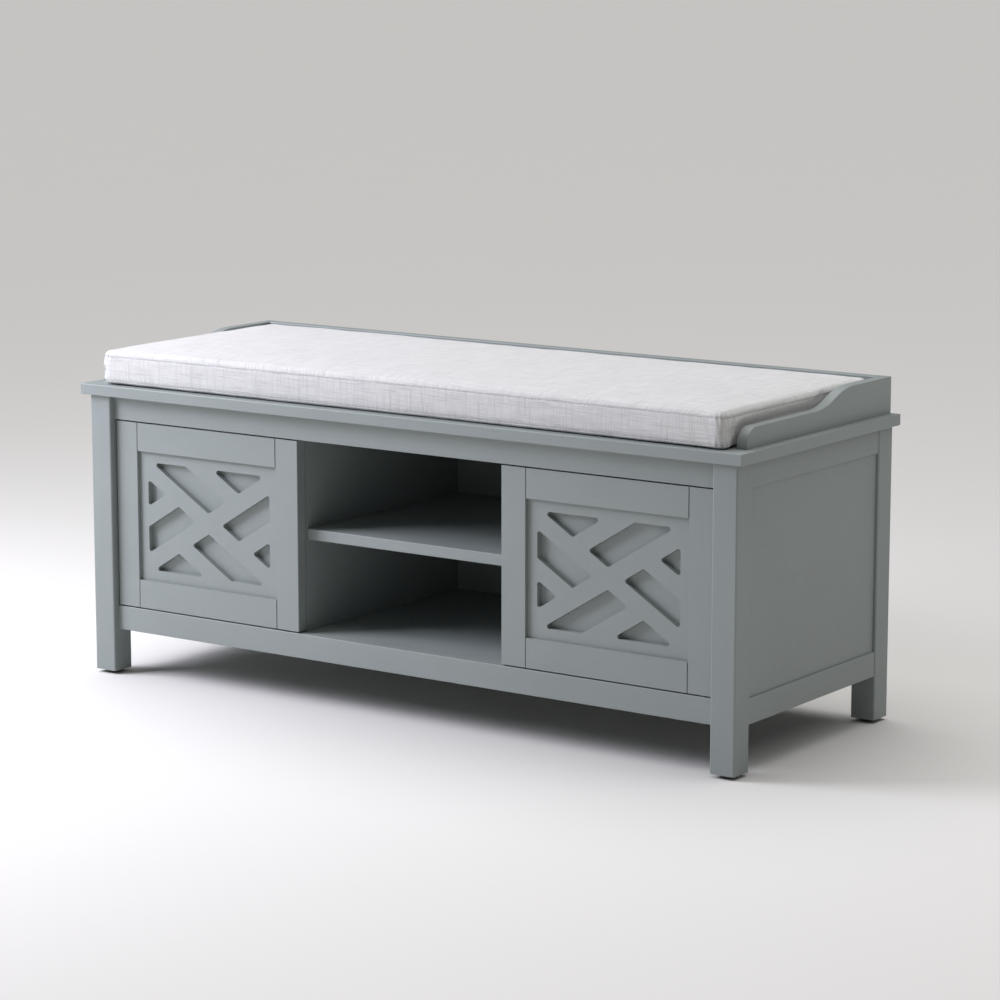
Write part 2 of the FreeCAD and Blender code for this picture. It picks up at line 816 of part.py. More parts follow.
# ---------------------------------------------------------------- the whole bench

def rods_as_solids(rods):
    """One compound with a cylinder for each (start, end, radius)."""
    return Part.Compound([rod(start, end, radius) for start, end, radius in rods])


def screws_as_solids(places, direction, length, diameter):
    """One compound with a screw at each place."""
    return Part.Compound([screw(place, direction, length, diameter) for place in places])


def paired_pieces():
    """Pieces drawn for the right side; each also has a mirror image on the left."""
    front = (front_y, side_rail_y0)
    rear = (side_rail_y1, rear_y)
    lower_rail, upper_rail = door_rail_levels()
    return {
        "post_front": post(*front),
        "post_rear": post(*rear),
        "foot_glide_front": glide(*front),
        "foot_glide_rear": glide(*rear),
        "side_top_rail": board_screwed(side_rail(upper_z0, post_z1)),
        "side_bottom_rail": side_rail(lower_z0, lower_z1),
        "side_panel": box(*side_panel_bounds()),
        "arm": arm(),
        "divider": divider(),
        "door_hinge_stile": hinge_stile(),
        "door_free_stile": free_stile(),
        "door_bottom_rail": door_rail(*lower_rail, door_z0),
        "door_top_rail": door_rail(*upper_rail, door_z1),
        "door_lattice_panel": fret_panel(),
        "door_backing_panel": backing_panel(),
        "door_pivot_pins": pivot_pins(),
        "door_strike_plate": box(*strike_bounds()),
        "latch_housing": latch_housing(),
        "latch_plunger": latch_plunger(),
    }


def single_pieces():
    """Pieces that the bench has once, and groups of small identical pieces."""
    bushes = [pivot_bush(lower_z1, Z_AXIS), pivot_bush(upper_z0, -Z_AXIS)]
    spring = latch_spring()
    latch_length_through = latch_width + latch_screw_bite
    latch_screws = [screw(place, -X_AXIS, latch_length_through, latch_screw_diameter)
                    for place in latch_screw_places()]
    return {
        "front_apron": board_screwed(front_rail(upper_z0, post_z1, upper_z0, -Z_AXIS)),
        "front_bottom_rail": front_rail(lower_z0, lower_z1, lower_z1, Z_AXIS),
        "rear_top_rail": board_screwed(rear_rail(upper_z0, post_z1)),
        "rear_bottom_rail": rear_rail(lower_z0, lower_z1),
        "bottom_panel": bottom_panel(),
        "bottom_cleat_front": cleat(apron_y1, apron_y1 + cleat_size),
        "bottom_cleat_rear": cleat(rear_rail_y0 - cleat_size, rear_rail_y0),
        "back_panel": box(*back_panel_bounds()),
        "top_board": top_board(),
        "back_board": back_board(),
        "shelf": shelf(),
        "shelf_pins": rods_as_solids(shelf_pins()),
        "pivot_bushes": Part.Compound(bushes + [mirrored(bush) for bush in bushes]),
        "latch_springs": Part.Compound([spring, mirrored(spring)]),
        "wood_dowels": rods_as_solids(DOWELS + DIVIDER_DOWELS),
        "cam_bolts": rods_as_solids(CAM_BOLTS),
        "cam_locks": rods_as_solids(CAMS),
        "top_board_screws": screws_as_solids(board_screw_places(), Z_AXIS,
                                             board_screw_length, screw_diameter),
        "arm_screws": screws_as_solids(arm_screw_places(), Z_AXIS,
                                       arm_screw_length, screw_diameter),
        "latch_screws": Part.Compound(latch_screws + [mirrored(one) for one in latch_screws]),
        "cushion": cushion(),
    }


def write_parts():
    """Write one STEP file per piece into parts/."""
    os.makedirs("parts", exist_ok=True)
    pieces = single_pieces()
    for name, shape in paired_pieces().items():
        pieces[name + "_right"] = shape
        pieces[name + "_left"] = mirrored(shape)
    for name, shape in pieces.items():
        shape.exportStep("parts/" + name + ".step")
    print(len(pieces), "parts")


write_parts()
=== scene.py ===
"""Finishes, seat cushion, floor, light and camera for a painted entryway bench.

Lengths are in metres. X runs to the right, Y to the back and Z up, from the floor under the middle of the
seat board.
"""

import math

import bpy
from bpy.props import FloatProperty, FloatVectorProperty, PointerProperty
from mathutils import Matrix, Vector, noise
from mathutils.bvhtree import BVHTree
from mathutils.kdtree import KDTree


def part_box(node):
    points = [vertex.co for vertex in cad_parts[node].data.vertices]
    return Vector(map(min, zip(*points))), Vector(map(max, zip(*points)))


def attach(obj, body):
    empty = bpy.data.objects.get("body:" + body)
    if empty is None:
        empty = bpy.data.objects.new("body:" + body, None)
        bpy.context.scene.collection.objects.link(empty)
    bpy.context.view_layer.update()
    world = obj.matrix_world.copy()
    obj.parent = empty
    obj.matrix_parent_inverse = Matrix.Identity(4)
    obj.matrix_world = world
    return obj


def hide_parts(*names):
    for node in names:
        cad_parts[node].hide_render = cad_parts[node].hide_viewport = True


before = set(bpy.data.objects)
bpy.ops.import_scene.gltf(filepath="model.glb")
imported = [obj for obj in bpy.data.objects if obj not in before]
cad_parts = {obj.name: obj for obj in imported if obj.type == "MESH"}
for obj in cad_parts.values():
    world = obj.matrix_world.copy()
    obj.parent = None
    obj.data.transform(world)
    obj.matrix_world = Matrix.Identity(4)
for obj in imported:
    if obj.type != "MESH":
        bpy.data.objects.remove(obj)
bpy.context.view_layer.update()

bl_info = {
    "name": "Entryway bench",
    "version": (1, 0, 0),
    "blender": (4, 5, 0),
    "location": "3D View > Sidebar > Bench",
    "description": "Finishes, seat cushion, floor, light and camera for a painted entryway bench",
    "category": "Object",
}

MM = 0.001  # one millimetre


# ---------------------------------------------------------------- colour, boxes and nodes


def linear(hex_colour):
    """Turn an sRGB hex colour into the linear values that Blender keeps."""
    values = [int(hex_colour[i : i + 2], 16) / 255 for i in (1, 3, 5)]
    return tuple(v / 12.92 if v <= 0.04045 else ((v + 0.055) / 1.055) ** 2.4 for v in values)


def opaque(colour):
    """Give three colour values the alpha that a colour socket takes."""
    return (*colour, 1.0)


def add_node(tree, kind, column, row=0, inputs=None, **settings):
    """Add one node, set it up, give its inputs values or links, and return its outputs."""
    node = tree.nodes.new(kind)
    node.location = (column * 220, -row * 240)
    for name, value in settings.items():
        setattr(node, name, value)
    for socket, value in (inputs or {}).items():
        if isinstance(value, bpy.types.NodeSocket):
            tree.links.new(value, node.inputs[socket])
        else:
            node.inputs[socket].default_value = value
    return node.outputs


def new_material(name):
    """Start a node material, and return it with its empty tree."""
    material = bpy.data.materials.new(name)
    material.use_nodes = True
    material.node_tree.nodes.clear()
    return material, material.node_tree


def finished(material, column, feed):
    """Close a material's tree with its surface shader and output, and return the material."""
    tree = material.node_tree
    surface = add_node(tree, "ShaderNodeBsdfPrincipled", column, inputs=feed)
    add_node(tree, "ShaderNodeOutputMaterial", column + 1, inputs={"Surface": surface[0]})
    return material


def give_finish(node_name, material):
    """Put a material in every slot of one part of the frame."""
    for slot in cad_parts[node_name].material_slots:
        slot.material = material


def long_axis(node_name):
    """The axis, 0 to 2, along which a part is longest, which is how its grain runs."""
    low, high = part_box(node_name)
    spans = [high[i] - low[i] for i in range(3)]
    return spans.index(max(spans))


# ---------------------------------------------------------------- settings


class BENCH_PaintSettings(bpy.types.PropertyGroup):
    """The paint on the frame and doors."""

    colour_deep: FloatVectorProperty(
        name="Paint, deep",
        description="The paint where the coat is thickest",
        default=linear("#878E8C"),
        subtype="COLOR",
        min=0.0,
        max=1.0,
    )
    colour_pale: FloatVectorProperty(
        name="Paint, pale",
        description="The paint where the coat is thinnest",
        default=linear("#8F9694"),
        subtype="COLOR",
        min=0.0,
        max=1.0,
    )
    grain_width: FloatProperty(
        name="Grain width",
        description="Width of one streak of the wood's grain",
        default=2.4 * MM,
        unit="LENGTH",
        min=0.0001,
    )
    grain_length: FloatProperty(
        name="Grain length",
        description="Length of one streak of the wood's grain",
        default=90 * MM,
        unit="LENGTH",
        min=0.001,
    )
    peel_size: FloatProperty(
        name="Orange peel",
        description="Distance from one ripple of the sprayed coat to the next",
        default=3.0 * MM,
        unit="LENGTH",
        min=0.0001,
    )


class BENCH_CushionSettings(bpy.types.PropertyGroup):
    """The seat cushion's cover."""

    colour_thread: FloatVectorProperty(
        name="Linen",
        description="The cover's main thread",
        default=linear("#D9D8D6"),
        subtype="COLOR",
        min=0.0,
        max=1.0,
    )
    colour_slub: FloatVectorProperty(
        name="Linen, dark slub",
        description="The darker thick threads in the cover",
        default=linear("#BDBCBC"),
        subtype="COLOR",
        min=0.0,
        max=1.0,
    )
    crown: FloatProperty(
        name="Crown",
        description="How far the middle of the top stands above its edges",
        default=1.5 * MM,
        unit="LENGTH",
        min=0.0,
    )
    corner_radius: FloatProperty(
        name="Corner radius",
        description="Radius of the cushion's upright corners",
        default=14 * MM,
        unit="LENGTH",
        min=0.005,
    )
    edge_radius: FloatProperty(
        name="Edge radius",
        description="Radius over which the top turns down to the side",
        default=10 * MM,
        unit="LENGTH",
        min=0.002,
    )
    foot_radius: FloatProperty(
        name="Foot radius",
        description="Radius over which the side turns under",
        default=5 * MM,
        unit="LENGTH",
        min=0.002,
    )
    side_pull: FloatProperty(
        name="Side pull",
        description="How far a long side pulls in between its corners",
        default=3.0 * MM,
        unit="LENGTH",
        min=0.0,
    )
    seam_depth: FloatProperty(
        name="Upper seam",
        description="How far down from the top the upper seam runs",
        default=9 * MM,
        unit="LENGTH",
        min=0.004,
    )
    seam_lift: FloatProperty(
        name="Lower seam",
        description="How far up from the bottom the lower seam runs",
        default=5 * MM,
        unit="LENGTH",
        min=0.004,
    )
    spill_left: FloatProperty(
        name="Spill, left",
        description="How far the left end bulges over and in front of its arm",
        default=6 * MM,
        unit="LENGTH",
        min=0.0,
    )
    spill_right: FloatProperty(
        name="Spill, right",
        description="How far the right end bulges over and in front of its arm",
        default=4 * MM,
        unit="LENGTH",
        min=0.0,
    )
    spill_front: FloatProperty(
        name="Spill, front",
        description="How far the front side leans out towards the board's edge",
        default=4.5 * MM,
        unit="LENGTH",
        min=0.0,
    )
    foot_gap: FloatProperty(
        name="Foot gap",
        description="How far the bottom's rim stands off the board",
        default=1.6 * MM,
        unit="LENGTH",
        min=0.0,
    )
    stitch_length: FloatProperty(
        name="Stitch length",
        description="Length of one stitch of the seams",
        default=3.6 * MM,
        unit="LENGTH",
        min=0.001,
    )
    pressure: FloatProperty(
        name="Filling pressure",
        description="How hard the filling pushes the cover out",
        default=4.0,
        min=0.0,
    )
    swell: FloatProperty(
        name="Swell",
        description="The most that the filling may move a point of the cover",
        default=4 * MM,
        unit="LENGTH",
        min=0.0,
    )


class BENCH_StageSettings(bpy.types.PropertyGroup):
    """The floor, the lights and the camera."""

    floor_colour: FloatVectorProperty(
        name="Floor",
        description="The plain floor's colour",
        default=linear("#D9D7D4"),
        subtype="COLOR",
        min=0.0,
        max=1.0,
    )
    floor_size: FloatProperty(
        name="Floor size",
        description="Side of the square floor",
        default=120.0,
        unit="LENGTH",
        min=1.0,
    )
    key_power: FloatProperty(
        name="Key light",
        description="Power of the large soft light at the front left, in watts",
        default=53.0,
        min=0.0,
    )
    fill_power: FloatProperty(
        name="Fill light",
        description="Power of the weak soft light at the right, in watts",
        default=3.2,
        min=0.0,
    )
    overhead_strength: FloatProperty(
        name="Overhead light",
        description="Strength of the broad light from above",
        default=2.25,
        min=0.0,
    )
    sky_strength: FloatProperty(
        name="Sky",
        description="Strength of the even light from all round",
        default=0.14,
        min=0.0,
    )
    focal_length: FloatProperty(
        name="Focal length",
        description="The camera's focal length in millimetres, on a sensor 36 mm wide",
        default=119.6,
        min=10.0,
    )


# ---------------------------------------------------------------- finishes


def painted_timber(name, grain_axis):
    """Solid hardwood, primed and sprayed with satin water-based paint.

    The eye gets an even, soft-edged sheen, a faint ripple from the spray, and the wood's grain just
    showing through.
    """
    paint = bpy.context.scene.bench_paint
    material, tree = new_material(name)
    place = add_node(tree, "ShaderNodeTexCoord", 0)["Object"]
    # Fibreboard has no grain: the same noise, as coarse every way as a sanding swirl.
    swirl = 6 * paint.grain_width
    scale = [1 / (swirl if grain_axis is None else paint.grain_width)] * 3
    if grain_axis is not None:
        scale[grain_axis] = 1 / paint.grain_length
    stretched = add_node(tree, "ShaderNodeMapping", 1, inputs={"Vector": place, "Scale": scale})[0]
    feed = {"Vector": stretched, "Scale": 1.0, "Detail": 3.0, "Roughness": 0.55, "Distortion": 0.3}
    grain = add_node(tree, "ShaderNodeTexNoise", 2, inputs=feed)[0]
    # A sprayed coat varies a little from hand's breadth to hand's breadth.
    cloud_size = 130 * MM
    feed = {"Vector": place, "Scale": 1 / cloud_size, "Detail": 2.0, "Roughness": 0.5}
    cloud = add_node(tree, "ShaderNodeTexNoise", 2, 1, inputs=feed)[0]
    # Real orange peel is about 1 mm across, too fine to show, so it is drawn as coarse as it needs to be.
    feed = {"Vector": place, "Scale": 1 / paint.peel_size, "Detail": 1.0, "Roughness": 0.4}
    peel = add_node(tree, "ShaderNodeTexNoise", 2, 2, inputs=feed)[0]
    # The grain counts for a little more than half as much as the coat's own variation.
    feed = {0: grain, 1: 0.6, 2: -0.2}
    tone = add_node(tree, "ShaderNodeMath", 3, operation="MULTIPLY_ADD", inputs=feed)[0]
    feed = {0: tone, 1: cloud}
    tone = add_node(tree, "ShaderNodeMath", 4, operation="ADD", use_clamp=True, inputs=feed)[0]
    feed = {0: tone, 6: opaque(paint.colour_deep), 7: opaque(paint.colour_pale)}
    colour = add_node(tree, "ShaderNodeMix", 5, data_type="RGBA", inputs=feed)[2]
    feed = {"Value": peel, "From Min": 0.3, "From Max": 0.7, "To Min": 0.4, "To Max": 0.5}
    rough = add_node(tree, "ShaderNodeMapRange", 5, 1, inputs=feed)[0]
    feed = {"Strength": 0.5, "Distance": 0.04 * MM, "Height": peel}
    ripple = add_node(tree, "ShaderNodeBump", 5, 2, inputs=feed)[0]
    feed = {"Strength": 0.6, "Distance": 0.06 * MM, "Height": grain, "Normal": ripple}
    raised = add_node(tree, "ShaderNodeBump", 6, 2, inputs=feed)[0]
    feed = {"Base Color": colour, "Roughness": rough, "IOR": 1.5, "Normal": raised}
    return finished(material, 7, feed)


def zinc_plated_steel():
    """Mild steel, turned or pressed, barrel-plated with zinc and passivated.

    The eye gets a cool grey metal, soft rather than mirror-bright, with small patches of unlike dullness.
    """
    material, tree = new_material("zinc_plated_steel")
    place = add_node(tree, "ShaderNodeTexCoord", 0)["Object"]
    patch_size, stain_size = 1.5 * MM, 6 * MM
    feed = {"Vector": place, "Scale": 1 / patch_size, "Randomness": 1.0}
    patch = add_node(tree, "ShaderNodeTexVoronoi", 1, inputs=feed)["Color"]
    patch = add_node(tree, "ShaderNodeSeparateColor", 2, inputs={0: patch})[0]
    feed = {"Vector": place, "Scale": 1 / stain_size, "Detail": 3.0}
    stain = add_node(tree, "ShaderNodeTexNoise", 1, 1, inputs=feed)[0]
    feed = {0: stain, 6: opaque(linear("#B9BFC6")), 7: opaque(linear("#D2D1CB"))}
    colour = add_node(tree, "ShaderNodeMix", 3, data_type="RGBA", inputs=feed)[2]
    feed = {"Value": patch, "To Min": 0.28, "To Max": 0.42}
    rough = add_node(tree, "ShaderNodeMapRange", 3, 1, inputs=feed)[0]
    feed = {"Strength": 0.3, "Distance": 0.02 * MM, "Height": stain}
    pitted = add_node(tree, "ShaderNodeBump", 3, 2, inputs=feed)[0]
    feed = {"Base Color": colour, "Metallic": 1.0, "Roughness": rough, "Normal": pitted}
    return finished(material, 4, feed)


def moulded_nylon():
    """Black nylon, injection moulded in a tool with a fine spark-eroded face.

    The eye gets a near-black plastic with a soft fine-grained sheen and faint flow marks.
    """
    material, tree = new_material("moulded_nylon")
    place = add_node(tree, "ShaderNodeTexCoord", 0)["Object"]
    # The spark-eroded grit is about 0.1 mm; it is drawn at 0.5 mm so that it shows at all.
    grit_size, flow_size = 0.5 * MM, 12 * MM
    feed = {"Vector": place, "Scale": 1 / grit_size, "Detail": 2.0}
    grit = add_node(tree, "ShaderNodeTexNoise", 1, inputs=feed)[0]
    feed = {"Vector": place, "Scale": 1 / flow_size, "Detail": 2.0, "Distortion": 1.0}
    flow = add_node(tree, "ShaderNodeTexNoise", 1, 1, inputs=feed)[0]
    feed = {0: flow, 6: opaque(linear("#27282A")), 7: opaque(linear("#323335"))}
    colour = add_node(tree, "ShaderNodeMix", 2, data_type="RGBA", inputs=feed)[2]
    feed = {"Value": grit, "To Min": 0.4, "To Max": 0.55}
    rough = add_node(tree, "ShaderNodeMapRange", 2, 1, inputs=feed)[0]
    feed = {"Strength": 0.3, "Distance": 0.03 * MM, "Height": grit}
    grained = add_node(tree, "ShaderNodeBump", 2, 2, inputs=feed)[0]
    feed = {"Base Color": colour, "Roughness": rough, "IOR": 1.53, "Normal": grained}
    return finished(material, 3, feed)


def moulded_polypropylene():
    """Dark brown polypropylene, injection moulded, for the feet.

    The eye gets a dull dark plastic with a fine pebbled face, and paler scuffs from standing on a floor.
    """
    material, tree = new_material("moulded_polypropylene")
    place = add_node(tree, "ShaderNodeTexCoord", 0)["Object"]
    pebble_size, scuff_size = 0.9 * MM, 4 * MM
    feed = {"Vector": place, "Scale": 1 / pebble_size, "Randomness": 1.0}
    pebble = add_node(tree, "ShaderNodeTexVoronoi", 1, inputs=feed)["Distance"]
    feed = {"Vector": place, "Scale": 1 / scuff_size, "Detail": 5.0, "Roughness": 0.7}
    scuff = add_node(tree, "ShaderNodeTexNoise", 1, 1, inputs=feed)[0]
    feed = {"Value": scuff, "From Min": 0.5, "From Max": 0.75}
    scuff = add_node(tree, "ShaderNodeMapRange", 2, 1, inputs=feed)[0]
    feed = {0: scuff, 6: opaque(linear("#3B352E")), 7: opaque(linear("#575047"))}
    colour = add_node(tree, "ShaderNodeMix", 3, data_type="RGBA", inputs=feed)[2]
    feed = {"Value": scuff, "To Min": 0.5, "To Max": 0.68}
    rough = add_node(tree, "ShaderNodeMapRange", 3, 1, inputs=feed)[0]
    feed = {"Strength": 0.4, "Distance": 0.05 * MM, "Height": pebble}
    pebbled = add_node(tree, "ShaderNodeBump", 3, 2, inputs=feed)[0]
    feed = {"Base Color": colour, "Roughness": rough, "IOR": 1.49, "Normal": pebbled}
    return finished(material, 4, feed)


def turned_beech():
    """Bare beech dowel, turned from the rod and fluted, with no finish.

    The eye gets a pale pinkish-brown dry wood with short darker flecks along its length.
    """
    material, tree = new_material("turned_beech")
    place = add_node(tree, "ShaderNodeTexCoord", 0)["Object"]
    # Beech's ray flecks are about 2 mm long and 0.3 mm wide; they are drawn twice as wide, to show.
    length, width = 2 * MM, 0.6 * MM
    feed = {"Vector": place, "Scale": (1 / length, 1 / width, 1 / width)}
    stretched = add_node(tree, "ShaderNodeMapping", 1, inputs=feed)[0]
    feed = {"Vector": stretched, "Scale": 1.0, "Detail": 2.0}
    fleck = add_node(tree, "ShaderNodeTexNoise", 2, inputs=feed)[0]
    feed = {"Value": fleck, "From Min": 0.55, "From Max": 0.7}
    fleck = add_node(tree, "ShaderNodeMapRange", 3, inputs=feed)[0]
    feed = {0: fleck, 6: opaque(linear("#D9B68E")), 7: opaque(linear("#AD8258"))}
    colour = add_node(tree, "ShaderNodeMix", 4, data_type="RGBA", inputs=feed)[2]
    feed = {"Value": fleck, "To Min": 0.6, "To Max": 0.75}
    rough = add_node(tree, "ShaderNodeMapRange", 4, 1, inputs=feed)[0]
    feed = {"Strength": 0.4, "Distance": 0.05 * MM, "Height": fleck}
    fibrous = add_node(tree, "ShaderNodeBump", 4, 2, inputs=feed)[0]
    feed = {"Base Color": colour, "Roughness": rough, "IOR": 1.5, "Normal": fibrous}
    return finished(material, 5, feed)


def woven_linen(name, along, across):
    """Linen and cotton cloth, plain woven from uneven yarn and washed.

    The eye gets a dry pale cloth, crossed both ways by thicker and darker threads, with almost no shine.
    along and across name what the threads follow: X and Y over the top and down its rolled edges, ROUND
    the way round the cushion's band, or Z.
    """
    cloth = bpy.context.scene.bench_cushion
    low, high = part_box("cushion")
    material, tree = new_material(name)
    place = add_node(tree, "ShaderNodeTexCoord", 0)["Object"]
    split = add_node(tree, "ShaderNodeSeparateXYZ", 1, inputs={0: place})
    side = add_node(tree, "ShaderNodeMath", 2, 3, operation="SIGN", inputs={0: split[0]})[0]
    feed = {0: split[1], 1: low[1]}
    back = add_node(tree, "ShaderNodeMath", 2, 4, operation="SUBTRACT", inputs=feed)[0]
    feed = {0: side, 1: back, 2: split[0]}
    round_way = add_node(tree, "ShaderNodeMath", 3, 3, operation="MULTIPLY_ADD", inputs=feed)[0]
    feed = {0: high[2], 1: split[2]}
    drop = add_node(tree, "ShaderNodeMath", 2, 5, operation="SUBTRACT", inputs=feed)[0]
    axes = {"Z": split[2], "ROUND": round_way}
    for row, axis in enumerate("XY"):
        # Near a side, the way down the roll is added to the way across the top.
        feed = {"Value": split[row], "From Min": low[row], "From Max": high[row], "To Min": -1.0}
        share = add_node(tree, "ShaderNodeMapRange", 2, 6 + row, clamp=False, inputs=feed)[0]
        feed = {0: share, 1: drop, 2: split[row]}
        down = add_node(tree, "ShaderNodeMath", 3, 6 + row, operation="MULTIPLY_ADD", inputs=feed)
        axes[axis] = down[0]
    feed = {0: axes[along], 1: axes[across], 2: 0.0}
    flat = add_node(tree, "ShaderNodeCombineXYZ", 4, inputs=feed)[0]
    # Hand-spun yarn wanders: the whole weave is pushed about by less than a thread, every 12 mm or so.
    wander_reach, wander_size = 1.2 * MM, 12 * MM
    feed = {"Vector": flat, "Scale": 1 / wander_size, "Detail": 2.0}
    wander = add_node(tree, "ShaderNodeTexNoise", 4, 1, inputs=feed)[1]
    feed = {0: wander, 1: (wander_reach, wander_reach, 0.0), 2: flat}
    wander = add_node(tree, "ShaderNodeVectorMath", 5, 1, operation="MULTIPLY_ADD", inputs=feed)[0]
    # Linen of this weight has a thread every 0.8 mm, too fine to show, so one is drawn every 1.8 mm.
    thread = 1.8 * MM
    feed = {0: wander, "Scale": math.pi / thread}
    turns = add_node(tree, "ShaderNodeVectorMath", 6, 1, operation="SCALE", inputs=feed)[0]
    turns = add_node(tree, "ShaderNodeSeparateXYZ", 7, 1, inputs={0: turns})
    warp = add_node(tree, "ShaderNodeMath", 8, 1, operation="SINE", inputs={0: turns[0]})[0]
    weft = add_node(tree, "ShaderNodeMath", 8, 2, operation="SINE", inputs={0: turns[1]})[0]
    crossing = add_node(tree, "ShaderNodeMath", 9, 1, operation="MULTIPLY", inputs={0: warp, 1: weft})[0]
    feed = {"Value": crossing, "From Min": -0.4, "From Max": 0.4}
    over = add_node(tree, "ShaderNodeMapRange", 10, 1, inputs=feed)[0]
    warp_round = add_node(tree, "ShaderNodeMath", 9, 2, operation="ABSOLUTE", inputs={0: warp})[0]
    weft_round = add_node(tree, "ShaderNodeMath", 9, 3, operation="ABSOLUTE", inputs={0: weft})[0]
    weave = add_node(tree, "ShaderNodeMix", 11, 1, inputs={0: over, 2: weft_round, 3: warp_round})[0]
    # Slubs: thick soft yarn, up to 1.5 mm wide for about 34 mm, both ways. The stagger keeps those of
    # neighbouring threads from starting in line, and each way takes its own slice of the noise.
    slub_width, slub_length, stagger, first_slice = 1.5 * MM, 34 * MM, 0.618, 0.37
    slubs = []
    ways = add_node(tree, "ShaderNodeSeparateXYZ", 5, 4, inputs={0: flat})
    for row, (length_way, width_way) in enumerate(((ways[0], ways[1]), (ways[1], ways[0]))):
        feed = {0: width_way, 1: 1 / slub_width}
        threads = add_node(tree, "ShaderNodeMath", 6, 4 + row, operation="MULTIPLY", inputs=feed)[0]
        feed = {0: length_way, 1: 1 / slub_length}
        reach = add_node(tree, "ShaderNodeMath", 6, 6 + row, operation="MULTIPLY", inputs=feed)[0]
        feed = {0: threads, 1: stagger, 2: reach}
        staggered = add_node(tree, "ShaderNodeMath", 7, 4 + row, operation="MULTIPLY_ADD", inputs=feed)[0]
        feed = {0: staggered, 1: threads, 2: first_slice + row}
        spot = add_node(tree, "ShaderNodeCombineXYZ", 8, 4 + row, inputs=feed)[0]
        feed = {"Vector": spot, "Scale": 1.0, "Detail": 2.0}
        streak = add_node(tree, "ShaderNodeTexNoise", 9, 4 + row, inputs=feed)[0]
        feed = {"Value": streak, "From Min": 0.45, "From Max": 0.75}
        slubs.append(add_node(tree, "ShaderNodeMapRange", 10, 4 + row, inputs=feed)[0])
    feed = {0: slubs[0], 1: slubs[1]}
    slub = add_node(tree, "ShaderNodeMath", 11, 4, operation="MAXIMUM", inputs=feed)[0]
    feed = {0: slub, 6: opaque(cloth.colour_thread), 7: opaque(cloth.colour_slub)}
    colour = add_node(tree, "ShaderNodeMix", 12, data_type="RGBA", inputs=feed)[2]
    # Painted shade: the gaps between threads are drawn darker than the threads' crowns, for the shade
    # that falls in them.
    feed = {"Value": weave, "From Max": 0.7, "To Min": 0.9, "To Max": 1.0}
    gap_shade = add_node(tree, "ShaderNodeMapRange", 12, 1, inputs=feed)[0]
    feed = {0: 1.0, 6: colour, 7: gap_shade}
    colour = add_node(tree, "ShaderNodeMix", 13, data_type="RGBA", blend_type="MULTIPLY", inputs=feed)[2]
    feed = {"Value": weave, "To Min": 0.95, "To Max": 0.82}
    rough = add_node(tree, "ShaderNodeMapRange", 13, 1, inputs=feed)[0]
    feed = {"Strength": 0.7, "Distance": 0.25 * MM, "Height": weave}
    raised = add_node(tree, "ShaderNodeBump", 13, 2, inputs=feed)[0]
    feed = {"Strength": 0.7, "Distance": 0.3 * MM, "Height": slub, "Normal": raised}
    raised = add_node(tree, "ShaderNodeBump", 14, 2, inputs=feed)[0]
    feed = {"Base Color": colour, "Roughness": rough, "IOR": 1.46, "Normal": raised}
    feed.update({"Sheen Weight": 0.15, "Sheen Roughness": 0.5})
    return finished(material, 15, feed)


def spun_thread():
    """Spun polyester sewing thread, two-ply.

    The eye gets a fine pale cord with a slight gloss, a little darker on some stitches than on others.
    """
    material, tree = new_material("spun_thread")
    place = add_node(tree, "ShaderNodeTexCoord", 0)["Object"]
    # The real plies turn once in about 1 mm, too fine to show, so a band is drawn about every 13 mm: it
    # shades one stitch from the next. The wave repeats after 2 pi / 10 of its size.
    wave_size = 20 * MM
    feed = {"Vector": place, "Scale": 1 / wave_size, "Distortion": 1.0}
    twist = add_node(tree, "ShaderNodeTexWave", 1, bands_direction="DIAGONAL", inputs=feed)["Fac"]
    feed = {0: twist, 6: opaque(linear("#A9A9AC")), 7: opaque(linear("#C9C9CB"))}
    colour = add_node(tree, "ShaderNodeMix", 2, data_type="RGBA", inputs=feed)[2]
    feed = {"Value": twist, "To Min": 0.5, "To Max": 0.65}
    rough = add_node(tree, "ShaderNodeMapRange", 2, 1, inputs=feed)[0]
    feed = {"Base Color": colour, "Roughness": rough, "IOR": 1.5, "Sheen Weight": 0.1}
    return finished(material, 3, feed)


def matt_floor(colour):
    """Plain matt painted floor, rolled.

    The eye gets one even pale surface with a very slight mottle.
    """
    material, tree = new_material("matt_floor")
    place = add_node(tree, "ShaderNodeTexCoord", 0)["Object"]
    mottle_size, mottle_shade = 300 * MM, 0.985
    feed = {"Vector": place, "Scale": 1 / mottle_size, "Detail": 3.0}
    mottle = add_node(tree, "ShaderNodeTexNoise", 1, inputs=feed)[0]
    feed = {0: mottle, 6: opaque(v * mottle_shade for v in colour), 7: opaque(colour)}
    tone = add_node(tree, "ShaderNodeMix", 2, data_type="RGBA", inputs=feed)[2]
    feed = {"Base Color": tone, "Roughness": 0.85, "IOR": 1.45}
    return finished(material, 3, feed)


# ---------------------------------------------------------------- frame, doors and fittings

FITTING_WORDS = {
    "zinc": (
        *("screws", "cam_bolts", "cam_locks", "pivot_pins"),
        *("strike_plate", "latch_plunger", "latch_springs", "shelf_pins"),
    ),
    "nylon": ("pivot_bushes", "latch_housing"),
    "plastic": ("foot_glide",),
    "beech": ("wood_dowels",),
}
BOARD_WORDS = ("back_panel", "bottom_panel", "side_panel", "divider", "lattice_panel", "backing_panel")


def nodes_with(words):
    """The names of the frame's parts that hold one of these words, in order."""
    return [name for name in sorted(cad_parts) if any(word in name for word in words)]


def paint_parts(names):
    """Paint parts, with the grain along each solid part and none in a panel."""
    coats = {axis: f"satin_paint_on_timber_{'xyz'[axis]}" for axis in range(3)}
    coats[None] = "satin_paint_on_fibreboard"
    for name in names:
        axis = None if any(word in name for word in BOARD_WORDS) else long_axis(name)
        material = bpy.data.materials.get(coats[axis]) or painted_timber(coats[axis], axis)
        give_finish(name, material)


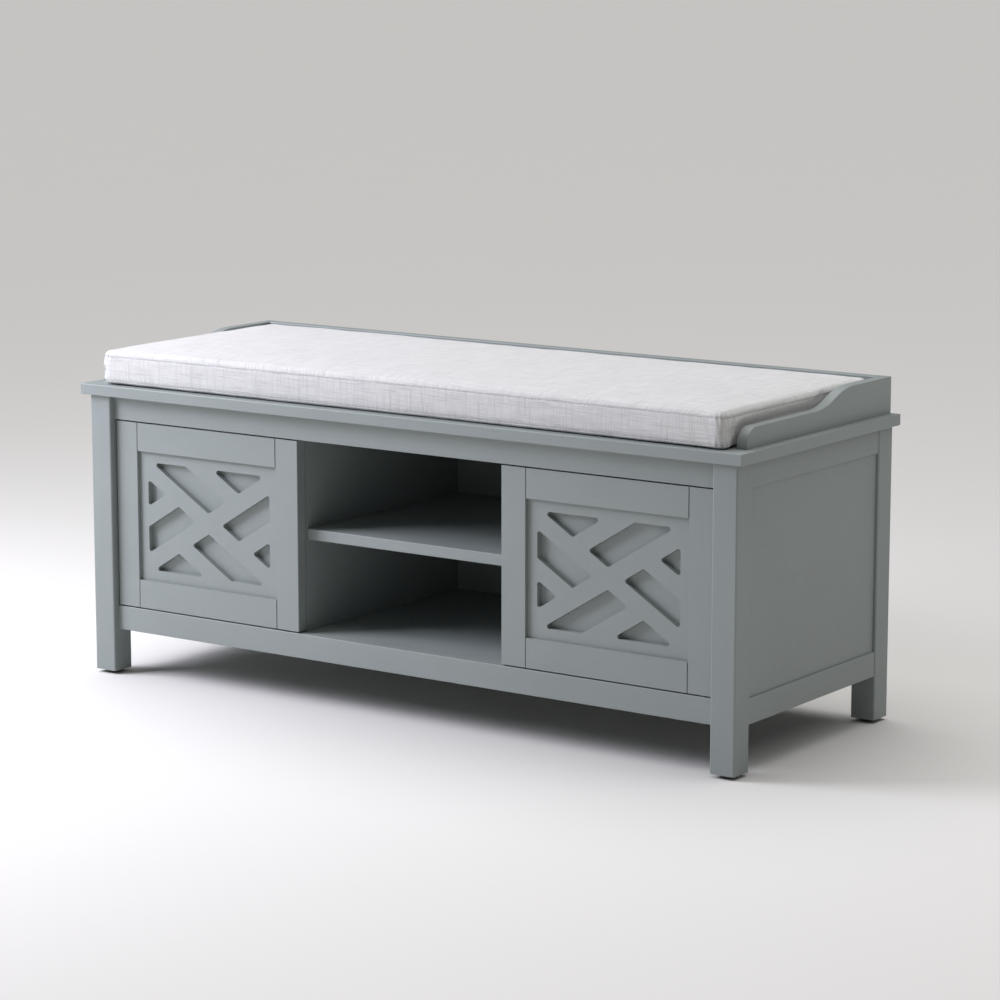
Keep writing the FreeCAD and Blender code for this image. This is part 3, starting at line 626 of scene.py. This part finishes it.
class BENCH_OT_paint_frame(bpy.types.Operator):
    """Paint the posts, rails, panels, boards, arms and shelf"""

    bl_idname = "bench.paint_frame"
    bl_label = "Paint frame"

    def execute(self, context):
        fittings = {name for words in FITTING_WORDS.values() for name in nodes_with(words)}
        skipped = fittings | set(nodes_with(("door_", "cushion")))
        paint_parts([name for name in sorted(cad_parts) if name not in skipped])
        return {"FINISHED"}


class BENCH_OT_paint_doors(bpy.types.Operator):
    """Paint the doors' stiles, rails, lattices and backings"""

    bl_idname = "bench.paint_doors"
    bl_label = "Paint doors"

    def execute(self, context):
        fittings = set(nodes_with(("pivot_pins", "strike_plate")))
        paint_parts([name for name in nodes_with(("door_",)) if name not in fittings])
        return {"FINISHED"}


class BENCH_OT_finish_fittings(bpy.types.Operator):
    """Give the screws, cams, pins, latches, bushes, dowels and feet their finishes"""

    bl_idname = "bench.finish_fittings"
    bl_label = "Finish fittings"

    def execute(self, context):
        finishes = {
            "zinc": zinc_plated_steel(),
            "nylon": moulded_nylon(),
            "plastic": moulded_polypropylene(),
            "beech": turned_beech(),
        }
        for kind, words in FITTING_WORDS.items():
            for name in nodes_with(words):
                give_finish(name, finishes[kind])
        return {"FINISHED"}


# ---------------------------------------------------------------- cushion


def spread(half, coarse, fine, fine_count):
    """Places from -half to half, close together near both ends and evenly spaced between."""
    end = half - fine * fine_count
    count = max(2, round(2 * end / coarse))
    middle = [-end + 2 * end * i / count for i in range(count + 1)]
    tail = [end + fine * (i + 1) for i in range(fine_count)]
    return [-x for x in reversed(tail)] + middle + tail


class CushionShape:
    """The cover before it is filled: a grid on a rounded slab, with a loop of points along each seam."""

    def __init__(self, cloth):
        low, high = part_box("cushion")
        end_inset, side_inset = 0.5 * MM, 2.5 * MM
        self.cloth = cloth
        self.half_x = (high[0] - low[0]) / 2 - end_inset
        self.half_y = (high[1] - low[1]) / 2 - side_inset
        self.middle = Vector(((low[0] + high[0]) / 2, (low[1] + high[1]) / 2, 0))
        self.bottom = low[2]
        self.height = high[2] - low[2]
        self.points, self.faces, self.panels, self.seams = [], [], [], []
        self.build()

    def rows(self):
        """Depths below the top of the loops of points round the side, and which of them are seams."""
        near, count = 1.4 * MM, 5
        upper, lower = [
            [seam * 0.3, seam * 0.6, seam - near, seam, seam + near]
            for seam in (self.cloth.seam_depth, self.cloth.seam_lift)
        ]
        lower = [self.height - lift for lift in reversed(lower)]
        first, last = upper[-1], lower[0]
        between = [first + (last - first) * (i + 1) / (count + 1) for i in range(count)]
        depths = upper + between + lower
        return depths, [depths.index(upper[3]), depths.index(lower[1])]

    def place(self, x, y, depth):
        """Where a point of the sharp-edged slab goes on the rounded one."""
        radius = self.cloth.corner_radius
        core_x = max(-(self.half_x - radius), min(self.half_x - radius, x))
        core_y = max(-(self.half_y - radius), min(self.half_y - radius, y))
        out_x, out_y = x - core_x, y - core_y
        span = math.hypot(out_x, out_y)
        reach = max(abs(out_x), abs(out_y))
        if span == 0:
            return self.crowned(x, y, depth)
        way_x, way_y = out_x / span, out_y / span
        edge = radius - reach
        for upper, roll in ((True, self.cloth.edge_radius), (False, self.cloth.foot_radius)):
            lip = depth if upper else self.height - depth
            if edge < roll and lip < roll:
                turned = Vector((roll - edge, roll - lip)).normalized() * roll
                edge, lip = roll - turned.x, roll - turned.y
                depth = lip if upper else self.height - lip
                break
        reach = radius - edge
        return self.crowned(core_x + way_x * reach, core_y + way_y * reach, depth)

    def crowned(self, x, y, depth):
        """Add the crown of the top, the sides' pull and the lie of soft filling."""
        across, along = x / self.half_x, y / self.half_y
        pull, end_share, lump_height = self.cloth.side_pull, 0.2, 0.6 * MM
        y -= pull * along * (1 - across * across)
        x -= end_share * pull * across * (1 - along * along)
        share = max(0.0, 1 - depth / self.height)
        rise = (1 - across**8) * (1 - along**6)
        # Each noise takes a place over the size of its lumps, and a number of its own.
        broad = noise.noise(Vector((x / 0.16, y / 0.12, 3.1)))
        small = noise.noise(Vector((x / 0.05, y / 0.05, 8.7)))
        lift = share * (self.cloth.crown * rise + lump_height * (broad + 0.5 * small))
        height = self.bottom + self.height - depth + lift
        return self.middle + Vector((x, y, height))

    def build(self):
        """Make the points and faces, and list the points along each seam."""
        coarse, fine, fine_count = 8 * MM, 3 * MM, 5
        columns, lines = [spread(half, coarse, fine, fine_count) for half in (self.half_x, self.half_y)]
        depths, seam_rows = self.rows()
        last_i, last_j = len(columns) - 1, len(lines) - 1
        ring = [(i, 0) for i in range(last_i)]
        ring += [(last_i, j) for j in range(last_j)]
        ring += [(i, last_j) for i in range(last_i, 0, -1)]
        ring += [(0, j) for j in range(last_j, 0, -1)]
        sheets = []
        for depth in (0.0, self.height):
            sheet = {}
            for j, y in enumerate(lines):
                for i, x in enumerate(columns):
                    sheet[i, j] = len(self.points)
                    self.points.append(self.place(x, y, depth))
            sheets.append(sheet)
        loops = [[sheets[0][at] for at in ring]]
        for depth in depths:
            start = len(self.points)
            self.points += [self.place(columns[i], lines[j], depth) for i, j in ring]
            loops.append(list(range(start, start + len(ring))))
        loops.append([sheets[1][at] for at in ring])
        self.seams = [loops[row + 1] for row in seam_rows]
        for sheet, flipped in zip(sheets, (False, True)):
            for j in range(last_j):
                for i in range(last_i):
                    face = [sheet[i, j], sheet[i + 1, j], sheet[i + 1, j + 1], sheet[i, j + 1]]
                    self.faces.append(face[::-1] if flipped else face)
                    self.panels.append(0)
        first, second = seam_rows[0] + 1, seam_rows[1] + 1
        for row, (upper, lower) in enumerate(zip(loops, loops[1:])):
            for k in range(len(ring)):
                after = (k + 1) % len(ring)
                self.faces.append([upper[k], lower[k], lower[after], upper[after]])
                self.panels.append(1 if first <= row < second else 0)


def fill_cover(cover, cloth, seams):
    """Swell the cover by cloth simulation, and hold every point near where it was cut."""
    mesh = cover.data
    start = [v.co.copy() for v in mesh.vertices]
    group = cover.vertex_groups.new(name="seams")
    group.add([i for seam in seams for i in seam], 1.0, "REPLACE")
    modifier = cover.modifiers.new("filling", "CLOTH")
    settings = modifier.settings
    settings.quality = 5
    settings.use_pressure = True
    settings.uniform_pressure_force = cloth.pressure
    settings.effector_weights.gravity = 0
    settings.vertex_group_shrink = group.name
    settings.shrink_min = 0.0
    settings.shrink_max = 0.05
    first, last = 1, 20
    modifier.point_cache.frame_start = first
    modifier.point_cache.frame_end = last
    scene = bpy.context.scene
    for step in range(first, last + 1):
        scene.frame_set(step)
    graph = bpy.context.evaluated_depsgraph_get()
    filled = cover.evaluated_get(graph).data
    moved = [v.co.copy() for v in filled.vertices]
    cover.modifiers.remove(modifier)
    scene.frame_set(first)
    for vertex, before, after in zip(mesh.vertices, start, moved):
        way = after - before
        far = way.length
        if far > 0:
            way *= cloth.swell * math.tanh(far / cloth.swell) / far
        vertex.co = before + way
    mesh.update()


def eased_step(value):
    """Rise smoothly from 0 to 1 as value goes from 0 to 1."""
    share = max(0.0, min(1.0, value))
    return share * share * (3 - 2 * share)


def keep_clear(cover, cloth):
    """Rest the cover flat, hold it off its neighbours, and let its ends bulge past the arms."""
    gap, lie = 0.6 * MM, 0.3 * MM
    rim_width, rim_height, lean_width = 22 * MM, 10 * MM, 40 * MM
    # An end bulges over its last 30 mm, from 1 mm clear of the arm, and in full from 12 mm clear.
    end_width, clear_from, clear_over = 30 * MM, 1 * MM, 11 * MM
    just_inside = 0.99
    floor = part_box("top_board")[1][2] + lie
    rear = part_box("back_board")[0][1] - gap
    graph = bpy.context.evaluated_depsgraph_get()
    ends = {}
    for sign, name, spill in ((-1, "arm_left", cloth.spill_left), (1, "arm_right", cloth.spill_right)):
        low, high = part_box(name)
        inner = min(abs(low[0]), abs(high[0])) - gap
        tree = BVHTree.FromObject(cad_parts[name], graph)
        ends[sign] = (inner, sign * (inner + high[0] - low[0]) * just_inside, low[1], tree, spill)
    cut_low, cut_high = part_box("cushion")
    for vertex in cover.data.vertices:
        at = vertex.co
        inward = min(at.x - cut_low[0], cut_high[0] - at.x, at.y - cut_low[1], cut_high[1] - at.y)
        rim = eased_step(1 - inward / rim_width) * eased_step(1 - (at.z - floor) / rim_height)
        at.z = max(floor, at.z) + cloth.foot_gap * rim
        lean = eased_step(1 - (at.y - cut_low[1]) / lean_width)
        at.y = min(rear, at.y) - cloth.spill_front * lean
        inner, over_arm, arm_front, tree, spill = ends[1 if at.x > 0 else -1]
        near_end = eased_step((abs(at.x) - inner + end_width) / end_width)
        if near_end == 0:
            continue
        top = tree.ray_cast(Vector((over_arm, at.y, 1.0)), Vector((0, 0, -1)))[0]
        clear = (arm_front - at.y) if top is None else (at.z - top.z)
        free = eased_step((clear - clear_from) / clear_over)
        reach = min(abs(at.x), inner) + spill * free * near_end
        at.x = math.copysign(reach, at.x)
    cover.data.update()


def crease(cover, cloth, seams):
    """Gather the cloth along its seams, tuck it at the corners and crease the ends."""
    mesh = cover.data
    low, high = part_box("cushion")
    seam_reach, corner_reach = 6 * MM, 26 * MM
    # In millimetres: gathers along a seam, tucks at a corner, folds across an end and along a side.
    gather_depth, tuck_depth, end_depth, side_depth = 0.6, 1.5, 2.4, 0.5
    lines = KDTree(sum(len(seam) for seam in seams))
    for seam in seams:
        for index in seam:
            lines.insert(mesh.vertices[index].co, index)
    lines.balance()
    normals = [v.normal.copy() for v in mesh.vertices]
    for vertex, normal in zip(mesh.vertices, normals):
        at = vertex.co
        fade = math.exp(-lines.find(at)[2] / seam_reach)
        side = 1 if at.x > 0 else -1
        turn = side * (at.y - low[1]) + at.x
        corner_x = high[0] - abs(at.x)
        corner_y = min(at.y - low[1], high[1] - at.y)
        corner = math.exp(-(((corner_x + corner_y) / corner_reach) ** 2))
        gather = noise.noise(Vector((turn / 0.006, at.z / 0.02, 1.7)))
        tuck = math.sin(turn / 0.0011 + 2.5 * noise.noise(Vector((turn / 0.02, at.z / 0.01, 5.2))))
        move = fade * (gather_depth * gather + tuck_depth * corner * tuck)
        if abs(normal.x) > 0.5:
            fold = noise.noise(Vector((at.y / 0.16, at.z / 0.008, 9.4 * side)))
            move += end_depth * fold * (1 - 0.7 * fade)
        elif abs(normal.y) > 0.5:
            fold = noise.noise(Vector((at.x / 0.07, at.z / 0.012, 4.4)))
            move += side_depth * fold * (1 - fade)
        vertex.co = at + normal * move * MM
    mesh.update()


def sink_seams(cover, seams):
    """Draw the seams in between the panels that they join."""
    sink = 1.3 * MM
    mesh = cover.data
    normals = [v.normal.copy() for v in mesh.vertices]
    for seam in seams:
        for index in seam:
            mesh.vertices[index].co -= normals[index] * sink
    mesh.update()


def round_off(cover):
    """Subdivide the cover once, for good. The cut's own points keep their numbers."""
    smooth = cover.modifiers.new("smooth", "SUBSURF")
    smooth.levels = smooth.render_levels = 1
    graph = bpy.context.evaluated_depsgraph_get()
    rounded = bpy.data.meshes.new_from_object(cover.evaluated_get(graph), depsgraph=graph)
    cover.modifiers.clear()
    cut = cover.data
    rounded.name = cut.name
    cover.data = rounded
    bpy.data.meshes.remove(cut)


class BENCH_OT_make_cushion(bpy.types.Operator):
    """Cut, fill and cover the seat cushion"""

    bl_idname = "bench.make_cushion"
    bl_label = "Make cushion"

    def execute(self, context):
        cloth = context.scene.bench_cushion
        shape = CushionShape(cloth)
        mesh = bpy.data.meshes.new("cushion_cover")
        mesh.from_pydata([tuple(p) for p in shape.points], [], shape.faces)
        mesh.update()
        cover = bpy.data.objects.new("cushion_cover", mesh)
        context.scene.collection.objects.link(cover)
        mesh.materials.append(woven_linen("woven_linen_top", "X", "Y"))
        mesh.materials.append(woven_linen("woven_linen_band", "ROUND", "Z"))
        for polygon, panel in zip(mesh.polygons, shape.panels):
            polygon.material_index = panel
            polygon.use_smooth = True
        fill_cover(cover, cloth, shape.seams)
        sink_seams(cover, shape.seams)
        round_off(cover)
        crease(cover, cloth, shape.seams)
        keep_clear(cover, cloth)
        cover["seam_count"] = len(shape.seams)
        for number, seam in enumerate(shape.seams):
            cover[f"seam_{number}"] = seam
        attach(cover, "cushion")
        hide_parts("cushion")
        return {"FINISHED"}


class BENCH_OT_sew_cushion(bpy.types.Operator):
    """Lay a row of stitches along each seam of the cushion"""

    bl_idname = "bench.sew_cushion"
    bl_label = "Sew cushion"

    def execute(self, context):
        cloth = context.scene.bench_cushion
        cover = bpy.data.objects["cushion_cover"]
        vertices = cover.data.vertices
        points, faces = [], []
        for number in range(cover["seam_count"]):
            seam = [vertices[i] for i in cover[f"seam_{number}"]]
            self.sew(seam, cloth, points, faces)
        mesh = bpy.data.meshes.new("cushion_stitches")
        mesh.from_pydata(points, [], faces)
        mesh.update()
        for polygon in mesh.polygons:
            polygon.use_smooth = True
        mesh.materials.append(spun_thread())
        stitches = bpy.data.objects.new("cushion_stitches", mesh)
        context.scene.collection.objects.link(stitches)
        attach(stitches, "cushion")
        return {"FINISHED"}

    def sew(self, seam, cloth, points, faces):
        """Lay stitches end to end along one closed seam, with a gap after each."""
        stand_off, step = 0.5 * MM, cloth.stitch_length * 1.5
        route = [v.co + v.normal * stand_off for v in seam]
        normals = [v.normal.copy() for v in seam]
        lengths = [0.0]
        for a, b in zip(route, route[1:] + route[:1]):
            lengths.append(lengths[-1] + (b - a).length)
        count = int(lengths[-1] / step)
        pitch = lengths[-1] / count
        leg = 0
        for n in range(count):
            ends = []
            for reach in (n * pitch, n * pitch + cloth.stitch_length):
                while leg < len(route) - 1 and lengths[leg + 1] < reach:
                    leg += 1
                share = (reach - lengths[leg]) / (lengths[leg + 1] - lengths[leg])
                ends.append(route[leg].lerp(route[(leg + 1) % len(route)], share))
            self.stitch(ends[0], ends[1], normals[leg], points, faces)

    def stitch(self, start, end, normal, points, faces):
        """Add one short arched piece of thread."""
        sides, thick = 5, 0.35 * MM
        along = (end - start).normalized()
        across = along.cross(normal).normalized()
        up = across.cross(along)
        base = len(points)
        profile = (
            # share of the stitch's length, radius and lift, both in thicknesses
            (0.0, 0.35, -0.8),
            (0.25, 0.9, 0.1),
            (0.5, 1.0, 0.35),
            (0.75, 0.9, 0.1),
            (1.0, 0.35, -0.8),
        )
        for share, width, lift in profile:
            centre = start.lerp(end, share) + up * thick * lift
            for k in range(sides):
                turn = 2 * math.pi * k / sides
                points.append(centre + (across * math.cos(turn) + up * math.sin(turn)) * thick * width)
        rings = [[base + ring * sides + k for k in range(sides)] for ring in range(len(profile))]
        for lower, upper in zip(rings, rings[1:]):
            for k in range(sides):
                after = (k + 1) % sides
                faces.append((lower[k], lower[after], upper[after], upper[k]))
        faces.append(rings[0][::-1])
        faces.append(rings[-1])


# ---------------------------------------------------------------- stage


class BENCH_OT_set_stage(bpy.types.Operator):
    """Set out the floor, the soft light and the camera"""

    bl_idname = "bench.set_stage"
    bl_label = "Set stage"

    def execute(self, context):
        stage = context.scene.bench_stage
        self.lay_floor(context, stage)
        self.light(context, stage)
        self.aim_camera(context, stage)
        return {"FINISHED"}

    def lay_floor(self, context, stage):
        """Lay one plain square floor just under the feet."""
        half, drop = stage.floor_size / 2, 0.2 * MM
        mesh = bpy.data.meshes.new("floor")
        corners = [(x * half, y * half, 0) for x, y in ((-1, -1), (1, -1), (1, 1), (-1, 1))]
        mesh.from_pydata(corners, [], [(0, 1, 2, 3)])
        mesh.materials.append(matt_floor(tuple(stage.floor_colour)))
        floor = bpy.data.objects.new("floor", mesh)
        floor.location.z = -drop
        context.scene.collection.objects.link(floor)

    def light(self, context, stage):
        """Hang the soft lights and set the even light from all round."""
        key, fill, sun = stage.key_power, stage.fill_power, stage.overhead_strength
        sun_angle = math.radians(70)
        lamps = (
            # name, energy, side or None for a sun, colour, place, target
            ("key_light", key, 1.0, "#EFF0FF", (-1.6, -1.15, 1.32), (-0.2, -0.2, 0.25)),
            ("fill_light", fill, 0.8, "#FFFFFF", (1.4, 0.35, 1.25), (0.5, 0.0, 0.45)),
            ("overhead_light", sun, None, "#FFFFFF", (-0.6, 0.3, 3.0), (0.0, 0.0, 0.0)),
        )
        for name, energy, side, colour, place, target in lamps:
            lamp = bpy.data.lights.new(name, "AREA" if side else "SUN")
            lamp.energy = energy
            lamp.color = linear(colour)
            if side:
                lamp.size = side
            else:
                lamp.angle = sun_angle
            light = bpy.data.objects.new(name, lamp)
            light.location = place
            light.rotation_euler = (Vector(target) - Vector(place)).to_track_quat("-Z", "Y").to_euler()
            context.scene.collection.objects.link(light)
        self.light_sky(context, stage)

    def light_sky(self, context, stage):
        """Light evenly from all round, and show a plain pale backdrop behind the bench."""
        world = bpy.data.worlds.new("even_light")
        world.use_nodes = True
        tree = world.node_tree
        tree.nodes.clear()
        feed = {"Color": opaque(linear("#F6F7F8")), "Strength": stage.sky_strength}
        sky = add_node(tree, "ShaderNodeBackground", 0, inputs=feed)[0]
        feed = {"Color": opaque(linear("#E6E5E3")), "Strength": 1.0}
        backdrop = add_node(tree, "ShaderNodeBackground", 0, 1, inputs=feed)[0]
        seen = add_node(tree, "ShaderNodeLightPath", 0, 2)["Is Camera Ray"]
        both = add_node(tree, "ShaderNodeMixShader", 1, inputs={0: seen, 1: sky, 2: backdrop})
        add_node(tree, "ShaderNodeOutputWorld", 2, inputs={"Surface": both[0]})
        context.scene.world = world
        context.scene.view_settings.view_transform = "Standard"

    def aim_camera(self, context, stage):
        """Set the camera to the front right of the bench, a little above it."""
        data = bpy.data.cameras.new("camera")
        data.lens = stage.focal_length
        data.sensor_width = 36.0
        data.clip_end = 100.0
        camera = bpy.data.objects.new("camera", data)
        azimuth, elevation, distance = math.radians(35.03), math.radians(10.13), 4.824
        target = Vector((0.0194, 0.0283, 0.2875))
        right = Vector((math.cos(azimuth), math.sin(azimuth), 0))
        ahead = Vector((-math.sin(azimuth), math.cos(azimuth), 0))
        back = Vector((0, 0, math.sin(elevation))) - ahead * math.cos(elevation)
        up = back.cross(right)
        turn = Matrix((right, up, back)).transposed().to_4x4()
        camera.matrix_world = Matrix.Translation(target + back * distance) @ turn
        context.scene.collection.objects.link(camera)
        context.scene.camera = camera


# ---------------------------------------------------------------- sidebar


class BENCH_PT_panel(bpy.types.Panel):
    """The bench's operators and settings"""

    bl_idname = "BENCH_PT_panel"
    bl_label = "Entryway bench"
    bl_space_type = "VIEW_3D"
    bl_region_type = "UI"
    bl_category = "Bench"

    def draw(self, context):
        for operator in OPERATORS:
            self.layout.operator(operator.bl_idname)
        for name in SETTING_NAMES:
            settings = getattr(context.scene, name)
            box = self.layout.box()
            for key in settings.__annotations__:
                box.prop(settings, key)


OPERATORS = (
    BENCH_OT_paint_frame,
    BENCH_OT_paint_doors,
    BENCH_OT_finish_fittings,
    BENCH_OT_make_cushion,
    BENCH_OT_sew_cushion,
    BENCH_OT_set_stage,
)
SETTINGS = (BENCH_PaintSettings, BENCH_CushionSettings, BENCH_StageSettings)
SETTING_NAMES = ("bench_paint", "bench_cushion", "bench_stage")


def register():
    """Register the settings, operators and panel."""
    for group, name in zip(SETTINGS, SETTING_NAMES):
        bpy.utils.register_class(group)
        setattr(bpy.types.Scene, name, PointerProperty(type=group))
    for operator in OPERATORS:
        bpy.utils.register_class(operator)
    bpy.utils.register_class(BENCH_PT_panel)


def unregister():
    """Take out everything that register put in."""
    bpy.utils.unregister_class(BENCH_PT_panel)
    for operator in reversed(OPERATORS):
        bpy.utils.unregister_class(operator)
    for group, name in reversed(list(zip(SETTINGS, SETTING_NAMES))):
        delattr(bpy.types.Scene, name)
        bpy.utils.unregister_class(group)


def main():
    """Make everything."""
    register()
    bpy.ops.bench.paint_frame()
    bpy.ops.bench.paint_doors()
    bpy.ops.bench.finish_fittings()
    bpy.ops.bench.make_cushion()
    bpy.ops.bench.sew_cushion()
    bpy.ops.bench.set_stage()


if __name__ == "__main__":
    main()
